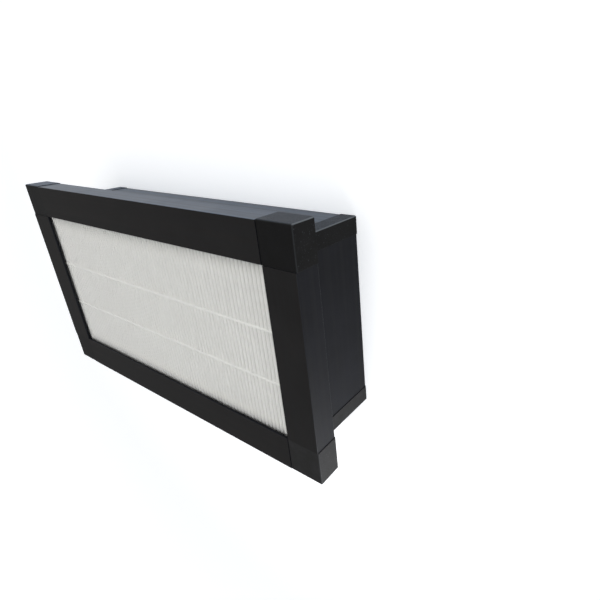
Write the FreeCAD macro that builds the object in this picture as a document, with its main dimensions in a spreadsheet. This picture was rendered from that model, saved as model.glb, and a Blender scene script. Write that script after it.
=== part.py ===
"""Ventilation filter: a pleated panel in a stepped frame of four straight profiles and four moulded corners.

Frame of reference: the filter lies on its rear rim with its wide front rim uppermost. X runs along the long
side, Y along the short side, Z from the rear rim to the front face. The origin is the middle of the rear rim.
"""

import FreeCAD, Part
import math
import os
import Sketcher
from FreeCAD import Placement, Rotation, Vector

SIZES = (
    # Outer size over the corner mouldings
    ("frame_width", 365.0),
    ("frame_height", 200.0),
    ("frame_depth", 85.0),
    # Stepped section: a wide header in front, a narrower body behind it
    ("face_width", 30.0),
    ("header_depth", 20.5),
    ("body_inset", 16.0),
    # Extruded profiles
    ("wall_thick", 2.0),
    ("front_wall", 2.0),
    ("rear_wall", 1.8),
    ("profile_round", 0.5),
    # Corner mouldings: proud of the profiles at the sides and behind, and a little back from them in front
    ("corner_proud", 0.5),
    ("front_recess", 0.4),
    ("corner_round", 1.0),
    ("rim_chamfer", 0.6),
    ("long_seam", 0.5),
    ("short_seam", 0.25),
    ("spigot_length", 22.0),
    ("spigot_wall", 1.8),
    ("spigot_fit", 0.2),
    # Folded sheet
    ("pleat_pitch", 4.05),
    ("sheet_thick", 0.5),
    ("crest_gap", 0.8),
    # Spacer beads across the folds
    ("bead_spacing", 43.7),
    ("bead_offset", -2.85),
    ("bead_breadth", 2.6),
    ("bead_rise", 0.4),
    ("bead_fit", 0.03),
    # Sealant that bonds the folded sheet into the frame
    ("edge_seal", 3.0),
    ("end_seal", 2.0),
)
CREST_FACETS = 5
CREASE_FACETS = 2
BEADS_A_SIDE = 2
QUARTER_TURN = 90

# Shared stations of the section, as expressions of the sizes
HEADER_BACK = "(Sizes.frame_depth - Sizes.header_depth)"
PROFILE_HEADER_BACK = f"({HEADER_BACK} + Sizes.corner_proud)"
BODY_WALL_OUT = "(Sizes.body_inset + Sizes.corner_proud)"
BODY_WALL_IN = f"({BODY_WALL_OUT} + Sizes.wall_thick)"
ROOM_FRONT = "(Sizes.frame_depth - Sizes.front_wall)"
ROOM_REAR = "(Sizes.corner_proud + Sizes.rear_wall)"
CHAMBER_OUT = "(Sizes.corner_proud + Sizes.wall_thick)"
CHAMBER_BACK = f"({PROFILE_HEADER_BACK} + Sizes.wall_thick)"
SPIGOT_END = "(Sizes.face_width + Sizes.spigot_length)"


def make_sheet(doc):
    """The sheet of driving sizes, one row each with its name as alias."""
    sheet = doc.addObject("Spreadsheet::Sheet", "Sizes")
    for row, (name, value) in enumerate(SIZES, start=1):
        sheet.set(f"A{row}", name)
        sheet.set(f"B{row}", str(value))
        sheet.setAlias(f"B{row}", name)
    doc.recompute()
    return sheet


def own_plane(body, role):
    """One of the body's own origin planes."""
    return next(item for item in body.Origin.OriginFeatures if item.Role == role)


def pin(sketch, line, axis, expression):
    """Holds one coordinate of a line's first point at a value of the sheet, or on the axis where it is zero."""
    horizontal = axis == "X"
    if expression == "0":
        sketch.addConstraint(Sketcher.Constraint("PointOnObject", line, 1, -2 if horizontal else -1))
        return
    index = sketch.addConstraint(Sketcher.Constraint("Distance" + axis, -1, 1, line, 1, 1.0 + line))
    sketch.setExpression(f"Constraints[{index}]", expression)


def outline(body, name, role, offset, *loops):
    """A sketch of closed straight-sided loops on one of the body's own planes, moved along its normal."""
    sketch = body.newObject("Sketcher::SketchObject", name)
    sketch.AttachmentSupport = [(own_plane(body, role), "")]
    sketch.MapMode = "FlatFace"
    if offset != "0":
        sketch.setExpression(".AttachmentOffset.Base.z", offset)
    for loop in loops:
        first, count = sketch.GeometryCount, len(loop)
        turns = [2 * math.pi * i / count for i in range(count + 1)]
        spots = [Vector(2 + math.cos(turn), 2 + math.sin(turn), 0) for turn in turns]
        sketch.addGeometry([Part.LineSegment(a, b) for a, b in zip(spots, spots[1:])], False)
        for i, (across, along) in enumerate(loop):
            after = first + (i + 1) % count
            sketch.addConstraint(Sketcher.Constraint("Coincident", first + i, 2, after, 1))
            pin(sketch, first + i, "X", across)
            pin(sketch, first + i, "Y", along)
    return sketch


def rectangle(x_low, x_high, y_low, y_high):
    """The four corners of an upright rectangle, as expressions."""
    return [(x_low, y_low), (x_high, y_low), (x_high, y_high), (x_low, y_high)]


def extrude(body, kind, name, sketch, length, reversed_way=False):
    """A pad or pocket of one sketch, with its length bound to the sheet and its effect on the volume tested."""
    body.Document.recompute()
    before = body.Shape.Volume if body.Tip else 0.0
    feature = body.newObject("PartDesign::" + kind, name)
    feature.Profile = sketch
    feature.setExpression("Length", length)
    feature.Reversed = reversed_way
    sketch.Visibility = False
    body.Document.recompute()
    change = body.Shape.Volume - before
    if (change > 0) != (kind == "Pad"):
        raise RuntimeError(f"{body.Label}: {name} changed the volume by {change:.1f}")
    return feature


def dress_edges(body, kind, name, reach, wanted):
    """A fillet or chamfer of every edge of the body whose middle the test accepts."""
    base = body.Tip
    edges = base.Shape.Edges
    names = [f"Edge{i}" for i, edge in enumerate(edges, start=1) if wanted(middle(edge))]
    dressing = body.newObject("PartDesign::" + kind, name)
    dressing.Base = (base, names)
    dressing.setExpression("Radius" if kind == "Fillet" else "Size", reach)
    body.Document.recompute()
    return dressing


def middle(edge):
    """The point halfway along an edge."""
    return edge.valueAt((edge.FirstParameter + edge.LastParameter) / 2)


def same(a, b):
    """True where two lengths agree to a thousandth of a millimetre."""
    return abs(a - b) < 1e-3


def new_body(doc, label, x_side, y_side, turn):
    """An empty body whose own origin is one outer corner of the frame, turned so that X and Y point along it."""
    body = doc.addObject("PartDesign::Body", label)
    body.Label = label
    body.Placement = Placement(Vector(), Rotation(Vector(0, 0, 1), turn))
    body.setExpression(".Placement.Base.x", f"{x_side} * Sizes.frame_width / 2")
    body.setExpression(".Placement.Base.y", f"{y_side} * Sizes.frame_height / 2")
    return body


def make_profile(doc, size, label, run, seam, x_side, y_side, turn):
    """A straight extruded profile: hollow header chamber, body wall, and lips, between two seams."""
    body = new_body(doc, label, x_side, y_side, turn)
    section = [
        ("Sizes.corner_proud", PROFILE_HEADER_BACK),
        ("Sizes.corner_proud", "Sizes.frame_depth"),
        ("Sizes.face_width", "Sizes.frame_depth"),
        ("Sizes.face_width", ROOM_FRONT),
        (BODY_WALL_IN, ROOM_FRONT),
        (BODY_WALL_IN, ROOM_REAR),
        ("Sizes.face_width", ROOM_REAR),
        ("Sizes.face_width", "Sizes.corner_proud"),
        (BODY_WALL_OUT, "Sizes.corner_proud"),
        (BODY_WALL_OUT, PROFILE_HEADER_BACK),
    ]
    chamber = rectangle(CHAMBER_OUT, BODY_WALL_OUT, CHAMBER_BACK, ROOM_FRONT)
    end = f"(Sizes.face_width + Sizes.{seam})"
    sketch = outline(body, label + "_section", "YZ_Plane", end, section, chamber)
    extrude(body, "Pad", label + "_length", sketch, f"Sizes.{run} - 2 * {end}")

    outer = size.corner_proud
    body_out = size.body_inset + outer
    front = size.frame_depth
    header_back = front - size.header_depth + outer
    start = size.face_width + getattr(size, seam)
    header_rims = [(outer, header_back), (outer, front)]
    lip_rims = [(size.face_width, front), (size.face_width, outer), (body_out, outer)]

    def on_rim(point):
        inside = point.x > start + outer
        rims = header_rims + lip_rims
        return inside and any(same(point.y, across) and same(point.z, along) for across, along in rims)

    dress_edges(body, "Fillet", label + "_rounding", "Sizes.profile_round", on_rim)
    return body


def make_corner(doc, size, label, x_side, y_side, turn):
    """A corner moulding: header block, body corner, pocket for the folded sheet and two hollow spigots."""
    body = new_body(doc, label, x_side, y_side, turn)
    face = "Sizes.face_width"
    column = rectangle("Sizes.body_inset", face, "Sizes.body_inset", face)
    extrude(body, "Pad", label + "_column", outline(body, label + "_column_plan", "XY_Plane", "0", column),
            "Sizes.frame_depth - Sizes.front_recess")
    block = rectangle("0", face, "0", face)
    extrude(body, "Pad", label + "_block", outline(body, label + "_block_plan", "XY_Plane", HEADER_BACK, block),
            "Sizes.header_depth - Sizes.front_recess")
    finish_corner(body, size, label)

    room_end = f"({face} + Sizes.wall_thick)"
    room = rectangle(BODY_WALL_IN, room_end, BODY_WALL_IN, room_end)
    extrude(body, "Pocket", label + "_room", outline(body, label + "_room_plan", "XY_Plane", ROOM_REAR, room),
            f"{ROOM_FRONT} - {ROOM_REAR}", reversed_way=True)

    near = f"{CHAMBER_OUT} + Sizes.spigot_fit"
    far = f"{BODY_WALL_OUT} - Sizes.spigot_fit"
    back = f"{CHAMBER_BACK} + Sizes.spigot_fit"
    front = f"{ROOM_FRONT} - Sizes.spigot_fit"
    skin = "Sizes.spigot_wall"
    spigot = rectangle(near, far, back, front)
    bore = rectangle(f"{near} + {skin}", f"{far} - {skin}", f"{back} + {skin}", f"{front} - {skin}")
    for way, role, sign, flip in (("x", "YZ_Plane", "", False), ("y", "XZ_Plane", "-", True)):
        name = f"{label}_spigot_{way}"
        sketch = outline(body, name + "_section", role, f"{sign}{face}", spigot)
        extrude(body, "Pad", name, sketch, "Sizes.spigot_length", reversed_way=flip)
    for way, role, sign, flip in (("x", "YZ_Plane", "", False), ("y", "XZ_Plane", "-", True)):
        name = f"{label}_bore_{way}"
        sketch = outline(body, name + "_section", role, f"{sign}{SPIGOT_END}", bore)
        extrude(body, "Pocket", name, sketch, f"{SPIGOT_END} - {near} - {skin}", reversed_way=flip)
    return body


def finish_corner(body, size, label):
    """Rounds a corner moulding's upright edges and front rim, and bevels the rims behind; seam sides stay sharp."""
    face, inset = size.face_width, size.body_inset
    front = size.frame_depth - size.front_recess
    header_back = size.frame_depth - size.header_depth

    def rounded(point):
        if same(point.x, face) or same(point.y, face):
            return False
        outer = same(point.x, 0) and same(point.y, 0) and header_back < point.z < front
        body_edge = same(point.x, inset) and same(point.y, inset) and 0 < point.z < header_back
        return outer or body_edge or same(point.z, front)

    def bevelled(point):
        if same(point.x, face) or same(point.y, face):
            return False
        header = same(point.z, header_back) and min(point.x, point.y) < inset / 2
        return header or same(point.z, 0)

    dress_edges(body, "Fillet", label + "_rounding", "Sizes.corner_round", rounded)
    dress_edges(body, "Chamfer", label + "_bevel", "Sizes.rim_chamfer", bevelled)


class FoldedPack:
    """Stations of the folded sheet, about the middle of the pack: x along the folds' row, z through the depth."""

    def __init__(self, size):
        wall_in = size.body_inset + size.corner_proud + size.wall_thick
        self.size = size
        self.room_width = size.frame_width - 2 * wall_in
        self.room_height = size.frame_height - 2 * wall_in
        self.room_front = size.frame_depth - size.front_wall
        self.room_rear = size.corner_proud + size.rear_wall
        self.middle = (self.room_front + self.room_rear) / 2
        self.width = self.room_width - 2 * size.end_seal
        self.height = self.room_height - 2 * size.edge_seal
        self.pleats = round((self.width - size.sheet_thick) / size.pleat_pitch)
        self.step = (self.width - size.sheet_thick) / self.pleats / 2
        self.outer_radius = (self.step + size.sheet_thick) / 2
        self.inner_radius = (self.step - size.sheet_thick) / 2
        self.crest_rise = self.outer_radius * math.cos(math.pi / 2 / CREST_FACETS)
        self.crest = (self.room_front - self.room_rear) / 2 - size.crest_gap
        self.shoulder = self.crest - self.crest_rise

    def flank(self, number):
        """Middle of one flank of the sheet, counted from the left end."""
        return (number - self.pleats) * self.step

    def fold(self, number, radius, facets, side):
        """Points round the fold that joins a flank to the next one, from left to right."""
        centre = self.flank(number) + self.step / 2
        for i in range(facets + 1):
            turn = math.pi * i / facets
            yield Vector(centre - radius * math.cos(turn), 0, side * (self.shoulder + radius * math.sin(turn)))

    def sheet_outline(self):
        """The whole section of the folded sheet, out along one face and back along the other."""
        half, free = self.size.sheet_thick / 2, self.shoulder
        first, last = self.flank(0), self.flank(2 * self.pleats)
        out_way = [Vector(first - half, 0, -free)]
        back_way = [Vector(first + half, 0, -free)]
        for number in range(2 * self.pleats):
            to_front = number % 2 == 0
            side = 1 if to_front else -1
            crest = list(self.fold(number, self.outer_radius, CREST_FACETS, side))
            crease = list(self.fold(number, self.inner_radius, CREASE_FACETS, side))
            out_way += crest if to_front else crease
            back_way += crease if to_front else crest
        out_way.append(Vector(last - half, 0, free))
        back_way.append(Vector(last + half, 0, free))
        return without_repeats(out_way + back_way[::-1])

    def bead_outline(self):
        """A bead lies over the crests and fills each gap between them down to the fold behind."""
        reach = (self.step - self.size.sheet_thick) / 2 - self.size.bead_fit
        under, top = self.crest, self.crest + self.size.bead_rise
        left, right = self.flank(0), self.flank(2 * self.pleats)
        points = [Vector(right, 0, top), Vector(left, 0, top), Vector(left, 0, under)]
        for number in range(1, 2 * self.pleats, 2):
            gap = self.flank(number) + self.step / 2
            points += [Vector(gap - reach, 0, under), Vector(gap - reach, 0, -self.shoulder)]
            points += [Vector(gap + reach, 0, -self.shoulder), Vector(gap + reach, 0, under)]
        return points + [Vector(right, 0, under)]


def without_repeats(points):
    """The points with any that repeats the one before it left out."""
    kept = []
    for point in points:
        if not kept or point.distanceToPoint(kept[-1]) > 1e-6:
            kept.append(point)
    return kept


def slab(points, breadth):
    """A closed outline in the XZ plane, drawn out along Y to both sides of it."""
    wire = Part.makePolygon(points + [points[0]])
    wire.translate(Vector(0, -breadth / 2, 0))
    return Part.Face(wire).extrude(Vector(0, breadth, 0))


def add_shape(doc, label, shape, placement):
    """A document object that holds one ready shape."""
    item = doc.addObject("Part::Feature", label)
    item.Label = label
    item.Shape = shape
    item.Placement = placement
    return item


def make_media(doc, pack):
    """The folded sheet, one piece from end to end."""
    shape = slab(pack.sheet_outline(), pack.height)
    return add_shape(doc, "pleated_media", shape, Placement(Vector(0, 0, pack.middle), Rotation()))


def make_beads(doc, size, pack):
    """The spacer beads of the front side and, turned over, those of the rear side."""
    shape = slab(pack.bead_outline(), size.bead_breadth)
    rows = ["lower", "upper"]
    items = []
    for face, turn in (("front", 0), ("rear", 2 * QUARTER_TURN)):
        for i in range(BEADS_A_SIDE):
            level = size.bead_offset + (i - (BEADS_A_SIDE - 1) / 2) * size.bead_spacing
            place = Placement(Vector(0, level, pack.middle), Rotation(Vector(0, 1, 0), turn))
            items.append(add_shape(doc, f"{face}_bead_{rows[i]}", shape.copy(), place))
    return items


def make_seal(doc, label, length, width, x_low, y_low):
    """A straight bar of sealant from the rear lip to the front lip, with its sizes bound to the sheet."""
    bar = doc.addObject("Part::Box", label)
    bar.Label = label
    bar.setExpression("Length", length)
    bar.setExpression("Width", width)
    bar.setExpression("Height", f"{ROOM_FRONT} - {ROOM_REAR}")
    bar.setExpression(".Placement.Base.x", x_low)
    bar.setExpression(".Placement.Base.y", y_low)
    bar.setExpression(".Placement.Base.z", ROOM_REAR)
    return bar


def make_seals(doc):
    """Sealant along the four sides of the folded sheet, between it and the body walls."""
    half_width = f"(Sizes.frame_width / 2 - {BODY_WALL_IN})"
    half_height = f"(Sizes.frame_height / 2 - {BODY_WALL_IN})"
    edge, end = "Sizes.edge_seal", "Sizes.end_seal"
    run = f"2 * {half_width}"
    rise = f"2 * ({half_height} - {edge})"
    return [
        make_seal(doc, "upper_sealant", run, edge, f"-{half_width}", f"{half_height} - {edge}"),
        make_seal(doc, "lower_sealant", run, edge, f"-{half_width}", f"-{half_height}"),
        make_seal(doc, "left_sealant", end, rise, f"-{half_width}", f"-{half_height} + {edge}"),
        make_seal(doc, "right_sealant", end, rise, f"{half_width} - {end}", f"-{half_height} + {edge}"),
    ]


def make_frame(doc, size):
    """Four corner mouldings with a profile after each, counter-clockwise from the lower left."""
    sides = [
        ("lower_left_corner", "lower_profile", "frame_width", "long_seam", -1, -1),
        ("lower_right_corner", "right_profile", "frame_height", "short_seam", 1, -1),
        ("upper_right_corner", "upper_profile", "frame_width", "long_seam", 1, 1),
        ("upper_left_corner", "left_profile", "frame_height", "short_seam", -1, 1),
    ]
    items = []
    for i, (corner, profile, run, seam, x_side, y_side) in enumerate(sides):
        turn = i * QUARTER_TURN
        items.append(make_corner(doc, size, corner, x_side, y_side, turn))
        items.append(make_profile(doc, size, profile, run, seam, x_side, y_side, turn))
    return items


class Sizes:
    """The sheet's values as plain numbers."""

    def __init__(self, sheet):
        for name, _ in SIZES:
            setattr(self, name, float(sheet.get(name)))


def check(doc, pieces):
    """Stops the build where an object failed or a piece has no sound solid."""
    for item in doc.Objects:
        if "Invalid" in item.State or "Error" in item.State:
            raise RuntimeError(f"{item.Label} is {item.State}")
    for piece in pieces:
        shape = piece.Shape
        if shape.isNull() or not shape.isValid() or len(shape.Solids) != 1:
            raise RuntimeError(f"{piece.Label} isn't one valid solid")


def main():
    doc = FreeCAD.newDocument("ventilation_filter")
    size = Sizes(make_sheet(doc))
    pack = FoldedPack(size)
    pieces = make_frame(doc, size) + [make_media(doc, pack)] + make_beads(doc, size, pack) + make_seals(doc)
    doc.recompute()
    check(doc, pieces)
    os.makedirs("parts", exist_ok=True)
    for piece in pieces:
        piece.Shape.exportStep(os.path.join("parts", piece.Label + ".step"))
    print(f"{len(pieces)} pieces, {pack.pleats} pleats at {2 * pack.step:.3f} mm")


main()
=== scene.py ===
"""Looks of the ventilation filter: black plastic frame, folded white sheet and its spacer beads.

The filter lies on its rear rim, as the frame has it: X along its long side, Y along its short side, Z up.
"""
import math
import random

import bpy
import numpy as np
from mathutils import Matrix, Vector, noise


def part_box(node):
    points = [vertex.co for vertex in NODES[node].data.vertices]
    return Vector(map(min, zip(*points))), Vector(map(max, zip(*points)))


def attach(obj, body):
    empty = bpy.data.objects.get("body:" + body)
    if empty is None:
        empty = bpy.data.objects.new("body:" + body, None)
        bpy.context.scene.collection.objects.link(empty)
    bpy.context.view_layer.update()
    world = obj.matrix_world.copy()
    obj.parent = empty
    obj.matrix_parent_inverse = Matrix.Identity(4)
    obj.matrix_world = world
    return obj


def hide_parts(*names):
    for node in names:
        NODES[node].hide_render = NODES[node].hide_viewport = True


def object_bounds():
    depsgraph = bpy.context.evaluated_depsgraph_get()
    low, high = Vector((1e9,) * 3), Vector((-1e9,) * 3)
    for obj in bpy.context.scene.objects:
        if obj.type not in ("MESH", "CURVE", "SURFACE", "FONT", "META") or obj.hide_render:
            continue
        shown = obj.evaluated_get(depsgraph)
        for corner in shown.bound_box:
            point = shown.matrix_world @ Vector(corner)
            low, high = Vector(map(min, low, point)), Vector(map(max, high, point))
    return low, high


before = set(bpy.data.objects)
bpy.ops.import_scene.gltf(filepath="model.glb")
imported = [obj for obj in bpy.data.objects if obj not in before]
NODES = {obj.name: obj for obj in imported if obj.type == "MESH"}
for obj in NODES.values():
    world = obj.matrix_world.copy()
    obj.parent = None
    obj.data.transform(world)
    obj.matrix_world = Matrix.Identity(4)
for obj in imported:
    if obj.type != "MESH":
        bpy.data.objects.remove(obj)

MM = 0.001
CAD_LOW, CAD_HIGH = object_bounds()

# Camera, as the photograph was taken, in the photograph's own pixels
PHOTO_SIZE = 600
FOCAL_PIXELS = 433.8
OPTICAL_CENTRE = (371.2, 283.1)
SENSOR_WIDTH = 36
CAMERA_PLACE = Vector((354.8, 162.5, 257.9)) * MM
CAMERA_LOOK = Vector((-0.5233, -0.3871, -0.7591)).normalized()
CAMERA_ROLL = math.radians(2.67)
CAMERA_NEAR = 0.01
CAMERA_FAR = 50

# World: its level overhead and at the horizon, and between which heights of a unit ray it fades
WORLD_LEVEL = 0.3
HORIZON_LEVEL = 1.0
HORIZON_TOP = 0.12
HORIZON_FADE = 0.32

# Lamps: name, place and aim in millimetres, size in metres, power in watts, colour
LAMPS = (
    ("above", (0, 0, 1460), (0, 0, 60), 1.0, 5, (1, 1, 1)),
    ("steep", (560, 520, 1180), (0, 0, 60), 1.0, 8, (1, 1, 1)),
    ("card", (300, -195, 75), (182, -98, 76), 0.1, 0.36, (1, 1, 1)),
)

# Floor: it glows a little where it is seen near the object, and is plain white far from it
FLOOR_REACH = 20.0
FLOOR_WHITE = 0.8
FLOOR_GLOW = 0.45
FLOOR_TINT = (0.96, 1.0, 1.05)
FLOOR_NEAR = 0.5
FLOOR_FAR = 2.0
FLOOR_DROP = 0.1 * MM

# Black plastics: share of gloss, colour and place of the film of dust and painted bluish sheen on the upper
# faces, level and tint of the painted edge highlights, painted tints of the sides and the faces
PLASTIC_GLOSS = 0.06
MOULDED_GLOSS = 0.05
DUST_AND_SHEEN_FILM = (0.098, 0.126, 0.172, 1.0)
DUST_AND_SHEEN_LEAST_Y = 75 * MM
DUST_AND_SHEEN_FADE = 5 * MM
EDGE_HIGHLIGHT_TONE = (0.2, (0.9, 1.0, 1.1))
PAINTED_SIDE_TINT = (0.92, 1, 1.4)
PAINTED_FACE_TINT = (1, 0.96, 0.97)

# Corner mouldings: tone of the plastic, least and most of the film of dust and painted sheen. The lower right
# one's lighter tone is painted light, and the upper right one's darker tone and thinner film are painted
# shade.
CORNERS = {
    "upper_right_corner": (0.006, 0.15, 0.4),
    "lower_right_corner": (0.017, 0.6, 0.9),
    "upper_left_corner": (0.012, 0.8, 1.0),
    "lower_left_corner": (0.012, 0.8, 1.0),
}

# Folded sheet: its folds, and how uneven their tips are
PLEAT_PITCH = 4.05 * MM
SHEET_THICK = 0.5 * MM
CREST_GAP = 0.44 * MM
CREST_RISE = 0.7 * MM
CREST_FADE = 2.2 * MM
FLANK_STATIONS = (0.8, 2.0, 4.0)
ARC_STEPS = 5
SHEET_ROWS = 22
FRONT_SINK = 0.9 * MM
TIP_SEED = 7
TIP_UNEVEN = 0.04 * MM
TIP_SWAY = 0.012 * MM

# Noise of the tips: steps for each fold and each metre of height, and layer
TIP_WAVES = (0.35, 22, 3.0)
TIP_RIPPLES = (1.7, 60, 9.0)

# Painted shade on the sheet along its sealed edges, under the frame's rim: where it begins and where it is
# full
SHADE_ENDS = (145 * MM, 153 * MM)
SHADE_ABOVE = (54 * MM, 70 * MM)
SHADE_BELOW = (-61 * MM, -70 * MM)

# Spacer beads: the thread over the crests
BEAD_WIDE = 3.0 * MM
BEAD_STEPS = 8
BEAD_RING = 12
BEAD_SQUARE = 0.6
BEAD_SAG = 0.08 * MM
BEAD_RISE = 0.06 * MM
BEAD_HALF_TALL = 0.55 * MM
BEAD_BELLY = 0.25 * MM
BEAD_ROUGH = 0.03 * MM
BEAD_WANDER = 0.22 * MM
BEAD_FINE_NOISE = 900
BEAD_SLOW_NOISE = 120
BEAD_SEED_STEP = 3.1

# Spacer beads: the fingers between the pleats
FINGER_ROOT = 0.9 * MM
FINGER_TIP = 1.3 * MM
FINGER_FIT = 0.03 * MM
FINGER_BREADTH = 0.42
FINGER_TAPER = 0.8

# Sockets of a Mix node that mixes colours
MIX_FIRST = 6
MIX_SECOND = 7
MIX_RESULT = 2


class Nodes:
    """Short calls for building the node tree of a material or of the world."""

    def __init__(self, owner, output="ShaderNodeOutputMaterial"):
        owner.use_nodes = True
        self.tree = owner.node_tree
        self.tree.nodes.clear()
        self.output = self.add(output)

    def add(self, kind, **settings):
        node = self.tree.nodes.new(kind)
        for name, value in settings.items():
            setattr(node, name, value)
        return node

    def link(self, source, target):
        self.tree.links.new(source, target)

    def put(self, socket, value):
        if isinstance(value, bpy.types.NodeSocket):
            self.link(value, socket)
        else:
            socket.default_value = value

    def place(self, scale=(1, 1, 1)):
        """Position in the row frame, stretched by the scale."""
        coordinates = self.add("ShaderNodeTexCoord")
        mapping = self.add("ShaderNodeMapping")
        self.link(coordinates.outputs["Object"], mapping.inputs["Vector"])
        mapping.inputs["Scale"].default_value = scale
        return mapping.outputs["Vector"]

    def axes(self, kind):
        """X, Y and Z of one kind of texture coordinate."""
        coordinates = self.add("ShaderNodeTexCoord")
        parts = self.add("ShaderNodeSeparateXYZ")
        self.link(coordinates.outputs[kind], parts.inputs[0])
        return parts.outputs["X"], parts.outputs["Y"], parts.outputs["Z"]

    def noise(self, vector, scale, detail=2.0, rough=0.5):
        node = self.add("ShaderNodeTexNoise")
        self.link(vector, node.inputs["Vector"])
        node.inputs["Scale"].default_value = scale
        node.inputs["Detail"].default_value = detail
        node.inputs["Roughness"].default_value = rough
        return node.outputs["Fac"]

    def spread(self, value, from_low, from_high, to_low=0.0, to_high=1.0):
        node = self.add("ShaderNodeMapRange")
        self.put(node.inputs["Value"], value)
        ends = {"From Min": from_low, "From Max": from_high, "To Min": to_low, "To Max": to_high}
        for name, number in ends.items():
            node.inputs[name].default_value = number
        return node.outputs["Result"]

    def math(self, operation, first, second=0.0):
        node = self.add("ShaderNodeMath", operation=operation)
        self.put(node.inputs[0], first)
        self.put(node.inputs[1], second)
        return node.outputs["Value"]

    def mix(self, share, first, second):
        node = self.add("ShaderNodeMix", data_type="RGBA")
        self.put(node.inputs["Factor"], share)
        self.put(node.inputs[MIX_FIRST], first)
        self.put(node.inputs[MIX_SECOND], second)
        return node.outputs[MIX_RESULT]

    def bump(self, height, depth, under=None):
        node = self.add("ShaderNodeBump")
        node.inputs["Distance"].default_value = depth
        self.link(height, node.inputs["Height"])
        if under is not None:
            self.link(under, node.inputs["Normal"])
        return node.outputs["Normal"]

    def surface(self, **values):
        shader = self.add("ShaderNodeBsdfPrincipled")
        for name, value in values.items():
            self.put(shader.inputs[name.replace("_", " ")], value)
        self.link(shader.outputs["BSDF"], self.output.inputs["Surface"])


def grey(level, tint=(1.0, 1.0, 1.0)):
    """A grey of that level, slightly tinted."""
    return (level * tint[0], level * tint[1], level * tint[2], 1.0)


def edge_share(nodes, radius):
    """1 along the edges of the solid, 0 on its faces."""
    bevel = nodes.add("ShaderNodeBevel", samples=6)
    bevel.inputs["Radius"].default_value = radius
    geometry = nodes.add("ShaderNodeNewGeometry")
    dot = nodes.add("ShaderNodeVectorMath", operation="DOT_PRODUCT")
    nodes.link(bevel.outputs["Normal"], dot.inputs[0])
    nodes.link(geometry.outputs["Normal"], dot.inputs[1])
    return nodes.spread(dot.outputs["Value"], 0.995, 0.85)


def worn_and_highlight_share(nodes, radius, patch_low, patch_high):
    """1 in patches along the edges of the solid, where they are worn and where painted highlights lie."""
    patches = nodes.spread(nodes.noise(nodes.place(), 320), patch_low, patch_high)
    return nodes.math("MULTIPLY", edge_share(nodes, radius), patches)


def front_share(nodes):
    """1 on the faces that look forward or back, 0 on those that look sideways."""
    forward = nodes.axes("Normal")[2]
    return nodes.spread(nodes.math("ABSOLUTE", forward), 0.75, 0.92)


def upper_dust_and_sheen_share(nodes):
    """1 on the outer faces that look along +Y, which carry a thin film of dust and a painted bluish sheen of
    reflected light.
    """
    upward = nodes.axes("Normal")[1]
    height = nodes.axes("Object")[1]
    outer = nodes.spread(height, DUST_AND_SHEEN_LEAST_Y, DUST_AND_SHEEN_LEAST_Y + DUST_AND_SHEEN_FADE)
    return nodes.math("MULTIPLY", outer, nodes.spread(upward, 0.6, 0.95))


def rounding_shares(nodes):
    """1 on the roundings between an upper side and an end, and 1 on those round the front and the back, where
    painted highlights go.
    """
    x, y, z = nodes.axes("Normal")
    across = nodes.math("ABSOLUTE", x)
    forward = nodes.math("ABSOLUTE", z)
    upper = nodes.math("MULTIPLY", across, y)
    sideways = nodes.math("ADD", across, nodes.math("ABSOLUTE", y))
    rim = nodes.math("MULTIPLY", forward, sideways)
    return nodes.spread(upper, 0.12, 0.4), nodes.spread(rim, 0.12, 0.4)


def new_material(name):
    """A new material and the calls that build its node tree."""
    material = bpy.data.materials.new(name)
    return material, Nodes(material)


def extruded_plastic(name, run_axis):
    """Black extruded plastic: satin on its sides with fine lines along the profile, duller on its face."""
    material, nodes = new_material(name)
    along = [1.0, 1.0, 1.0]
    along[run_axis] = 0.012
    lines = nodes.noise(nodes.place(along), 1500, 3.0, 0.6)
    bands = nodes.noise(nodes.place(along), 260, 2.0)
    haze = nodes.noise(nodes.place(), 28, 4.0, 0.6)
    grain = nodes.noise(nodes.place(), 2600, 2.0)
    worn_and_highlight = worn_and_highlight_share(nodes, 0.5 * MM, 0.5, 0.7)
    front = front_share(nodes)
    clouds = nodes.spread(haze, 0.35, 0.68)
    # Painted shade and reflection: the sides are darker and bluer than the faces that look forward or back
    sides = nodes.mix(clouds, grey(0.006, PAINTED_SIDE_TINT), grey(0.009, PAINTED_SIDE_TINT))
    faces = nodes.mix(clouds, grey(0.0095, PAINTED_FACE_TINT), grey(0.0135, PAINTED_FACE_TINT))
    tone = nodes.mix(front, sides, faces)
    tone = nodes.mix(nodes.spread(bands, 0.45, 0.7, 0.0, 0.4), tone, grey(0.014, (0.97, 1.0, 1.07)))
    # Lighter patches along the edges: wear and painted highlight
    tone = nodes.mix(nodes.math("MULTIPLY", worn_and_highlight, 0.4), tone, grey(0.05, (0.96, 1.0, 1.05)))
    # Film of dust and painted bluish sheen on the upper faces
    film = nodes.math("MULTIPLY", upper_dust_and_sheen_share(nodes), nodes.spread(bands, 0.35, 0.65, 0.6, 1.0))
    tone = nodes.mix(film, tone, DUST_AND_SHEEN_FILM)
    # Painted highlight along the roundings of the front and back rims
    rim_highlight = rounding_shares(nodes)[1]
    tone = nodes.mix(nodes.math("MULTIPLY", rim_highlight, 0.05), tone, grey(*EDGE_HIGHLIGHT_TONE))
    satin = nodes.spread(nodes.math("ADD", bands, haze), 0.7, 1.3, 0.33, 0.42)
    rough = nodes.math("ADD", satin, nodes.math("MULTIPLY", front, 0.38))
    normal = nodes.bump(lines, 0.012 * MM)
    normal = nodes.bump(grain, 0.006 * MM, normal)
    nodes.surface(Base_Color=tone, Roughness=rough, Normal=normal, Specular_IOR_Level=PLASTIC_GLOSS)
    return material


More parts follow.
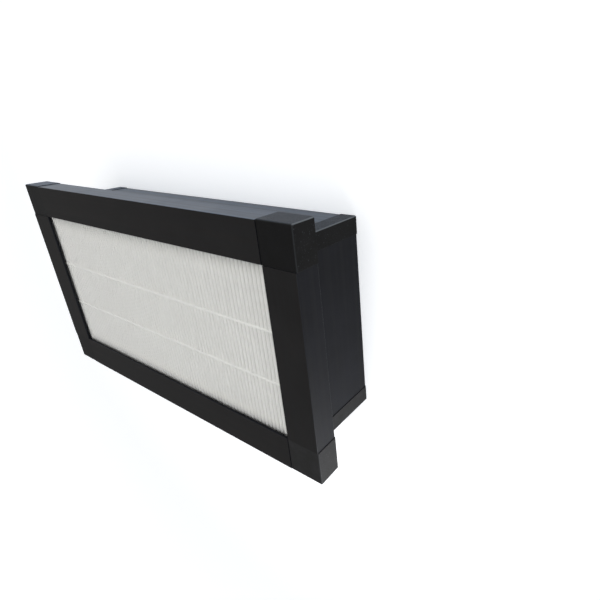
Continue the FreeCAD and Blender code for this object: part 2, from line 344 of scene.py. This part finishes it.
def moulded_plastic(name, base, dust_and_sheen_least, dust_and_sheen_most):
    """Black moulded plastic with a fine spark-eroded grain, a few faint specks, worn edges and painted
    highlights along its upper edges and its rim.
    """
    material, nodes = new_material(name)
    grain = nodes.noise(nodes.place(), 1300, 3.0, 0.65)
    cloud = nodes.noise(nodes.place(), 90, 3.0, 0.6)
    dust = nodes.noise(nodes.place(), 1100, 1.0)
    worn_and_highlight = worn_and_highlight_share(nodes, 0.6 * MM, 0.3, 0.6)
    tone = nodes.mix(nodes.spread(cloud, 0.35, 0.68), grey(base), grey(1.4 * base, (1, 1, 1.05)))
    front = front_share(nodes)
    fewer_in_front = nodes.spread(front, 0.0, 1.0, 0.9, 0.15)
    specks = nodes.math("MULTIPLY", nodes.spread(dust, 0.67, 0.75), fewer_in_front)
    tone = nodes.mix(specks, tone, grey(0.05, (0.9, 1.0, 1.15)))
    # Lighter patches along the edges: wear and painted highlight
    tone = nodes.mix(nodes.math("MULTIPLY", worn_and_highlight, 0.6), tone, grey(0.035, (0.95, 1.0, 1.06)))
    # Film of dust and painted bluish sheen on the upper faces
    patches = nodes.spread(nodes.noise(nodes.place(), 1400, 2.0), 0.4, 0.65, dust_and_sheen_least, dust_and_sheen_most)
    tone = nodes.mix(nodes.math("MULTIPLY", upper_dust_and_sheen_share(nodes), patches), tone, DUST_AND_SHEEN_FILM)
    # Painted highlights along the upper roundings and the rims
    upper_highlight, rim_highlight = rounding_shares(nodes)
    upper_highlight = nodes.math("MULTIPLY", upper_highlight, 0.8)
    rim_highlight = nodes.math("MULTIPLY", rim_highlight, 0.07)
    tone = nodes.mix(nodes.math("MAXIMUM", upper_highlight, rim_highlight), tone, grey(*EDGE_HIGHLIGHT_TONE))
    dull = nodes.spread(nodes.math("ADD", grain, cloud), 0.7, 1.3, 0.42, 0.54)
    rough = nodes.math("ADD", dull, nodes.math("MULTIPLY", front, 0.32))
    nodes.surface(Base_Color=tone, Roughness=rough, Normal=nodes.bump(grain, 0.03 * MM),
                  Specular_IOR_Level=MOULDED_GLOSS)
    return material


def painted_edge_shade_share(nodes):
    """1 along the sheet's sealed edges, where the rim's shade is painted, fading to 0 towards its middle."""
    x, y, _ = nodes.axes("Object")
    ends = nodes.spread(nodes.math("ABSOLUTE", x), *SHADE_ENDS)
    above = nodes.spread(y, *SHADE_ABOVE)
    below = nodes.spread(y, *SHADE_BELOW)
    nearest = nodes.math("MAXIMUM", nodes.math("MAXIMUM", ends, above), below)
    return nodes.math("POWER", nearest, 2.0)


def fibre_sheet(name):
    """White fibre sheet: cloudy in its make, with short fibres on its surface, and light passes into it."""
    material, nodes = new_material(name)
    cloud = nodes.noise(nodes.place(), 240, 4.0, 0.65)
    fibres = nodes.noise(nodes.place((1.0, 0.35, 1.0)), 3200, 4.0, 0.7)
    stain = nodes.noise(nodes.place(), 16, 2.0)
    thin = grey(0.81, (1.0, 0.998, 0.925))
    dense = grey(0.83, (1.0, 0.998, 0.93))
    tone = nodes.mix(nodes.spread(cloud, 0.3, 0.7), thin, dense)
    tone = nodes.mix(nodes.spread(stain, 0.5, 0.75, 0.0, 0.25), tone, grey(0.81, (1.0, 0.99, 0.9)))
    # Painted shade of the frame's rim along the sheet's sealed edges
    tone = nodes.mix(painted_edge_shade_share(nodes), tone, grey(0.4, (1.0, 1.0, 0.98)))
    nodes.surface(Base_Color=tone, Roughness=0.92, Normal=nodes.bump(fibres, 0.004 * MM),
                  Specular_IOR_Level=0.1, Subsurface_Weight=1.0, Subsurface_Radius=(1.0, 1.0, 1.0),
                  Subsurface_Scale=2.2 * MM)
    return material


def hot_melt(name):
    """Milky set glue, a little glossy."""
    material, nodes = new_material(name)
    cloud = nodes.noise(nodes.place(), 700, 3.0)
    milky = (1.0, 1.0, 0.95)
    tone = nodes.mix(nodes.spread(cloud, 0.3, 0.7), grey(0.79, milky), grey(0.84, milky))
    nodes.surface(Base_Color=tone, Roughness=nodes.spread(cloud, 0.3, 0.7, 0.5, 0.65),
                  Normal=nodes.bump(cloud, 0.01 * MM), Specular_IOR_Level=0.15)
    return material


def cured_sealant(name):
    """Off-white pourable sealant with small pits."""
    material, nodes = new_material(name)
    pits = nodes.noise(nodes.place(), 900, 3.0)
    tone = nodes.mix(nodes.spread(pits, 0.35, 0.65), grey(0.62, (1, 0.99, 0.94)), grey(0.72, (1, 0.99, 0.95)))
    nodes.surface(Base_Color=tone, Roughness=0.55, Normal=nodes.bump(pits, 0.08 * MM))
    return material


def dress(name, material):
    """Gives a CAD node its material."""
    slots = NODES[name].material_slots
    if not slots:
        NODES[name].data.materials.append(material)
    for entry in slots:
        entry.material = material


def add_mesh(name, points, faces, material, smooth=True):
    mesh = bpy.data.meshes.new(name)
    mesh.from_pydata(points, [], faces)
    mesh.polygons.foreach_set("use_smooth", [smooth] * len(mesh.polygons))
    mesh.update()
    mesh.materials.append(material)
    piece = bpy.data.objects.new(name, mesh)
    bpy.context.scene.collection.objects.link(piece)
    return piece


def tip_noise(scales, fold, y):
    """Smooth noise over the row of folds and their height."""
    along, up, layer = scales
    return noise.noise(Vector((fold * along, y * up, layer)))


def squared(part):
    """A coordinate of a circle pushed outwards, which flattens the top and the sides of the thread."""
    return math.copysign(abs(part) ** BEAD_SQUARE, part)


class FoldedSheet:
    """Stations of the folded sheet, with the small unevenness of a real pack."""

    def __init__(self):
        self.low, self.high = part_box("pleated_media")
        run = self.high.x - self.low.x - SHEET_THICK
        self.pleats = round(run / PLEAT_PITCH)
        self.step = run / self.pleats / 2
        self.middle = (self.high.z + self.low.z) / 2
        self.crest = (self.high.z - self.low.z) / 2
        self.outer = (self.step + SHEET_THICK) / 2
        self.inner = (self.step - SHEET_THICK) / 2
        self.swell = self.step - CREST_GAP / 2 - self.outer
        chance = random.Random(TIP_SEED)
        folds = 2 * self.pleats
        self.drop = [TIP_UNEVEN * chance.random() ** 2 for _ in range(folds)]
        self.sway = [TIP_SWAY * chance.uniform(-1, 1) for _ in range(folds)]
        self.sway[0] = self.sway[-1] = 0.0

    def centre(self, fold, y):
        """Middle of one fold at the height y, and how far its tip lies under the even crest."""
        base = self.low.x + SHEET_THICK / 2 + (fold + 0.5) * self.step
        wave = tip_noise(TIP_WAVES, fold, y)
        fine = tip_noise(TIP_RIPPLES, fold, y)
        x = base + self.sway[fold] + TIP_SWAY * (wave + 0.5 * fine)
        sink = FRONT_SINK if fold % 2 == 0 else 0.0
        return x, sink + self.drop[fold] + 0.25 * TIP_UNEVEN * (1 + fine)

    def row(self, y):
        """The two lines of the section at the height y, each from left to right."""
        first, last = self.low.x, self.high.x
        out_way, back_way = [(first, self.middle)], [(first + SHEET_THICK, self.middle)]
        for fold in range(2 * self.pleats):
            side = 1 if fold % 2 == 0 else -1
            x, drop = self.centre(fold, y)
            shoulder = self.crest - CREST_RISE - drop
            for line, outside in ((out_way, side > 0), (back_way, side < 0)):
                line += [(x + dx, self.middle + side * (shoulder + dz)) for dx, dz in self.loop(outside)]
        out_way.append((last - SHEET_THICK, self.middle))
        back_way.append((last, self.middle))
        return out_way, back_way

    def loop(self, outside):
        """Points round one fold, left to right, about its middle and shoulder. It swells out at the crest."""
        radius = self.outer if outside else self.inner
        rise = CREST_RISE if outside else CREST_RISE - SHEET_THICK
        flank = [(radius + self.swell * math.exp(-(down * MM / CREST_FADE) ** 2), -down * MM)
                 for down in FLANK_STATIONS]
        turns = [math.pi * i / ARC_STEPS for i in range(ARC_STEPS + 1)]
        crest = [(-(radius + self.swell) * math.cos(turn), rise * math.sin(turn)) for turn in turns]
        return [(-dx, dz) for dx, dz in reversed(flank)] + crest + flank

    def build(self, material):
        """One closed sheet: both faces, both long edges and both ends."""
        shares = np.sin(np.linspace(-math.pi / 2, math.pi / 2, SHEET_ROWS + 1))
        ys = (self.low.y + self.high.y) / 2 + shares * (self.high.y - self.low.y) / 2
        points, count = [], 0
        for y in ys:
            out_way, back_way = self.row(y)
            count = len(out_way)
            points += [(x, y, z) for x, z in out_way] + [(x, y, z) for x, z in back_way]
        faces = []
        ring = 2 * count
        for r in range(SHEET_ROWS):
            a, b = r * ring, (r + 1) * ring
            for i in range(count - 1):
                faces.append((a + i, a + i + 1, b + i + 1, b + i))
                faces.append((a + count + i + 1, a + count + i, b + count + i, b + count + i + 1))
            faces.append((a + count, a, b, b + count))
            faces.append((a + count - 1, a + ring - 1, b + ring - 1, b + count - 1))
        end = SHEET_ROWS * ring
        for i in range(count - 1):
            faces.append((i + 1, i, count + i, count + i + 1))
            faces.append((end + i, end + i + 1, end + count + i + 1, end + count + i))
        return add_mesh("folded_sheet", points, faces, material)

    def bead(self, name, node, side, seed, material):
        """A thread of set glue over the crests of one face, with a finger down into each gap."""
        low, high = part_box(node)
        level = (low.y + high.y) / 2
        count = self.pleats * BEAD_STEPS
        sink = FRONT_SINK if side > 0 else 0.0
        points, faces = [], []
        for k in range(count + 1):
            x = low.x + (high.x - low.x) * k / count
            phase = math.cos(2 * math.pi * ((x - self.low.x - SHEET_THICK / 2) / (2 * self.step) - 0.25))
            valley = 0.5 - 0.5 * phase
            fine = noise.noise(Vector((x * BEAD_FINE_NOISE, seed, 0)))
            slow = noise.noise(Vector((x * BEAD_SLOW_NOISE, seed, 5)))
            wide = BEAD_WIDE / 2 * (0.92 + 0.06 * phase + 0.08 * fine)
            top = self.crest - sink + BEAD_RISE - BEAD_SAG * valley + BEAD_ROUGH * fine
            tall = BEAD_HALF_TALL + BEAD_BELLY * valley
            for j in range(BEAD_RING):
                turn = 2 * math.pi * j / BEAD_RING
                y = level + BEAD_WANDER * slow + wide * squared(math.cos(turn))
                z = top - tall + tall * squared(math.sin(turn))
                points.append((x, y, self.middle + side * z))
        for k in range(count):
            for j in range(BEAD_RING):
                a, b = k * BEAD_RING + j, k * BEAD_RING + (j + 1) % BEAD_RING
                quad = (a, b, b + BEAD_RING, a + BEAD_RING)
                faces.append(quad if side > 0 else quad[::-1])
        last = count * BEAD_RING
        caps = [tuple(range(BEAD_RING)), tuple(range(last + BEAD_RING - 1, last - 1, -1))]
        faces += caps if side < 0 else [cap[::-1] for cap in caps]
        self.fingers(points, faces, level, side)
        return add_mesh(name, points, faces, material)

    def fingers(self, points, faces, level, side):
        """The glue that ran down between the pleats."""
        reach = self.inner - FINGER_FIT
        root, tip = self.crest - FINGER_ROOT, -self.crest + FINGER_TIP
        first = 1 if side > 0 else 0
        for fold in range(first, 2 * self.pleats - 1 + first, 2):
            x = self.low.x + SHEET_THICK / 2 + (fold + 0.5) * self.step
            start = len(points)
            for z, half in ((root, reach), (tip, reach * FINGER_TAPER)):
                for dx, dy in ((-1, -1), (1, -1), (1, 1), (-1, 1)):
                    y = level + dy * BEAD_WIDE * FINGER_BREADTH
                    points.append((x + dx * half, y, self.middle + side * z))
            quads = [(0, 1, 2, 3), (7, 6, 5, 4), (0, 4, 5, 1), (1, 5, 6, 2), (2, 6, 7, 3), (3, 7, 4, 0)]
            for quad in quads:
                ordered = quad if side > 0 else quad[::-1]
                faces.append(tuple(start + i for i in ordered))


def make_pack(materials):
    """The folded sheet and its four beads, in place of their plain solids."""
    sheet = FoldedSheet()
    piece = sheet.build(materials["sheet"])
    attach(piece, "root")
    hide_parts("pleated_media")
    beads = (
        ("front_bead_lower", 1),
        ("front_bead_upper", 1),
        ("rear_bead_lower", -1),
        ("rear_bead_upper", -1),
    )
    for seed, (node, side) in enumerate(beads):
        bead = sheet.bead("melt_" + node, node, side, seed * BEAD_SEED_STEP, materials["bead"])
        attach(bead, "root")
        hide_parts(node)


def make_camera():
    """A camera that stands, looks and leans as the photograph's did."""
    camera = bpy.data.objects.new("camera", bpy.data.cameras.new("camera"))
    bpy.context.scene.collection.objects.link(camera)
    side = CAMERA_LOOK.cross(Vector((0, 1, 0))).normalized()
    level_up = side.cross(CAMERA_LOOK)
    up = level_up * math.cos(CAMERA_ROLL) + side * math.sin(CAMERA_ROLL)
    right = CAMERA_LOOK.cross(up)
    turn = Matrix((right, up, -CAMERA_LOOK)).transposed()
    camera.matrix_world = Matrix.Translation(CAMERA_PLACE) @ turn.to_4x4()
    lens = camera.data
    lens.sensor_width = SENSOR_WIDTH
    lens.lens = FOCAL_PIXELS / PHOTO_SIZE * SENSOR_WIDTH
    lens.shift_x = (PHOTO_SIZE / 2 - OPTICAL_CENTRE[0]) / PHOTO_SIZE
    lens.shift_y = (OPTICAL_CENTRE[1] - PHOTO_SIZE / 2) / PHOTO_SIZE
    lens.clip_start = CAMERA_NEAR
    lens.clip_end = CAMERA_FAR
    bpy.context.scene.camera = camera


def seen_share(nodes):
    """1 for rays that show the background: straight from the camera, mirrored or through glass."""
    path = nodes.add("ShaderNodeLightPath")
    share = nodes.math("MAXIMUM", path.outputs["Is Camera Ray"], path.outputs["Is Glossy Ray"])
    return nodes.math("MAXIMUM", share, path.outputs["Is Transmission Ray"])


def make_floor():
    """A white floor that takes the object's shadow and glows only for the rays that show it."""
    reach = FLOOR_REACH
    points = [(-reach, -reach, 0), (reach, -reach, 0), (reach, reach, 0), (-reach, reach, 0)]
    material, nodes = new_material("floor")
    matt = nodes.add("ShaderNodeBsdfDiffuse")
    matt.inputs["Color"].default_value = grey(FLOOR_WHITE)
    glow = nodes.add("ShaderNodeEmission")
    glow.inputs["Color"].default_value = grey(1.0, FLOOR_TINT)
    place = nodes.add("ShaderNodeVectorMath", operation="LENGTH")
    nodes.link(nodes.place(), place.inputs[0])
    far = nodes.spread(place.outputs["Value"], FLOOR_NEAR, FLOOR_FAR, FLOOR_GLOW, 1.0)
    nodes.link(nodes.math("MULTIPLY", far, seen_share(nodes)), glow.inputs["Strength"])
    both = nodes.add("ShaderNodeAddShader")
    nodes.link(matt.outputs["BSDF"], both.inputs[0])
    nodes.link(glow.outputs["Emission"], both.inputs[1])
    nodes.link(both.outputs["Shader"], nodes.output.inputs["Surface"])
    floor = add_mesh("floor", points, [(0, 1, 2, 3)], material, smooth=False)
    floor.location.z = CAD_LOW.z - FLOOR_DROP


def make_world():
    """White surroundings that light the object as if they were white only down at the horizon."""
    world = bpy.data.worlds.new("studio")
    bpy.context.scene.world = world
    nodes = Nodes(world, "ShaderNodeOutputWorld")
    height = nodes.axes("Generated")[2]
    light = nodes.spread(height, HORIZON_TOP, HORIZON_FADE, HORIZON_LEVEL, WORLD_LEVEL)
    background = nodes.add("ShaderNodeBackground")
    background.inputs["Color"].default_value = grey(1.0)
    nodes.link(nodes.math("MAXIMUM", light, seen_share(nodes)), background.inputs["Strength"])
    nodes.link(background.outputs["Background"], nodes.output.inputs["Surface"])


def add_lamp(name, place, aim, size, power, colour):
    """A square soft lamp that looks from its place at its aim."""
    lamp = bpy.data.lights.new(name, "AREA")
    lamp.shape = "SQUARE"
    lamp.size = size
    lamp.energy = power
    lamp.color = colour
    item = bpy.data.objects.new(name, lamp)
    item.visible_camera = False
    item.location = Vector(place) * MM
    item.rotation_euler = (Vector(aim) - Vector(place)).to_track_quat("-Z", "Y").to_euler()
    bpy.context.scene.collection.objects.link(item)


def main():
    bpy.context.scene.view_settings.view_transform = "Standard"
    along_x = extruded_plastic("extruded_plastic_x", 0)
    along_y = extruded_plastic("extruded_plastic_y", 1)
    sealant = cured_sealant("cured_sealant")
    materials = {"sheet": fibre_sheet("fibre_sheet"), "bead": hot_melt("hot_melt")}
    for name in NODES:
        if name.endswith("_corner"):
            dress(name, moulded_plastic("moulded_" + name, *CORNERS[name]))
        elif name.endswith("_profile"):
            dress(name, along_x if name.startswith(("lower", "upper")) else along_y)
        elif name.endswith("_sealant"):
            dress(name, sealant)
    make_pack(materials)
    make_camera()
    make_floor()
    make_world()
    for lamp in LAMPS:
        add_lamp(*lamp)


main()
